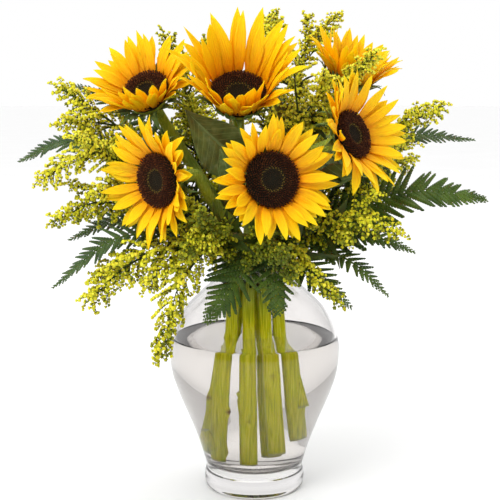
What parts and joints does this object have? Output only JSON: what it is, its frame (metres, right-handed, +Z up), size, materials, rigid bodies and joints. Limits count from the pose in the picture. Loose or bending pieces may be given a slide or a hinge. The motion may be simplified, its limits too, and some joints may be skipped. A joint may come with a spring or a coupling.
{
  "type": "sunflowers in a vase",
  "caption": "Bouquet of cut sunflowers with goldenrod and leatherleaf fern, standing in a clear glass urn-shaped vase of water.",
  "frame": {"origin": "centre of the vase foot's flat underside, on the table", "axes": "+Z up along the vase's axis; -Y is the front, the side most flower faces look to; +X is to the right seen from the front"},
  "size_m": [0.4194, 0.3393, 0.4481],
  "materials": {
    "clear_glass": "clear, polished",
    "water": "clear water",
    "sunflower_stem": "matte, ribbed, fresh green",
    "disc_florets": "dark, dry, velvety florets",
    "ray_petals": "satin, pleated",
    "sunflower_leaf": "matte, downy",
    "goldenrod": "matte, many small flower heads",
    "fern": "semi-gloss, leathery"
  },
  "bodies": {
    "root": {"disc_1": "disc_florets", "disc_2": "disc_florets", "disc_3": "disc_florets", "disc_4": "disc_florets", "disc_5": "disc_florets", "disc_6": "disc_florets", "fern_back": "fern", "fern_back_left": "fern", "fern_back_right": "fern", "fern_bottom_right": "fern", "fern_front_drop": "fern", "fern_front_mid": "fern", "fern_left": "fern", "fern_left_mid": "fern", "fern_low_left": "fern", "fern_low_right": "fern", "fern_right": "fern", "fern_right_low": "fern", "fern_side_left": "fern", "fern_upper_left": "fern", "fern_upper_right": "fern", "goldenrod_back_left": "goldenrod", "goldenrod_back_right": "goldenrod", "goldenrod_before_top": "goldenrod", "goldenrod_between_right": "goldenrod", "goldenrod_centre_left": "goldenrod", "goldenrod_centre_low": "goldenrod", "goldenrod_droop": "goldenrod", "goldenrod_left": "goldenrod", "goldenrod_left_low": "goldenrod", "goldenrod_low_left": "goldenrod", "goldenrod_low_right": "goldenrod", "goldenrod_right": "goldenrod", "goldenrod_side_left": "goldenrod", "goldenrod_side_right": "goldenrod", "goldenrod_top_left": "goldenrod", "goldenrod_top_mid": "goldenrod", "goldenrod_top_right": "goldenrod", "goldenrod_upper_left": "goldenrod", "goldenrod_upper_right": "goldenrod", "leaf_back": "sunflower_leaf", "leaf_back_right": "sunflower_leaf", "leaf_centre": "sunflower_leaf", "leaf_centre_left": "sunflower_leaf", "leaf_centre_top": "sunflower_leaf", "leaf_right": "sunflower_leaf", "petals_1": "ray_petals", "petals_2": "ray_petals", "petals_3": "ray_petals", "petals_4": "ray_petals", "petals_5": "ray_petals", "petals_6": "ray_petals", "sunflower_stem_1": "sunflower_stem", "sunflower_stem_2": "sunflower_stem", "sunflower_stem_3": "sunflower_stem", "sunflower_stem_4": "sunflower_stem", "sunflower_stem_5": "sunflower_stem", "sunflower_stem_6": "sunflower_stem", "vase": "clear_glass", "water": "water"}
  },
  "joints": []
}
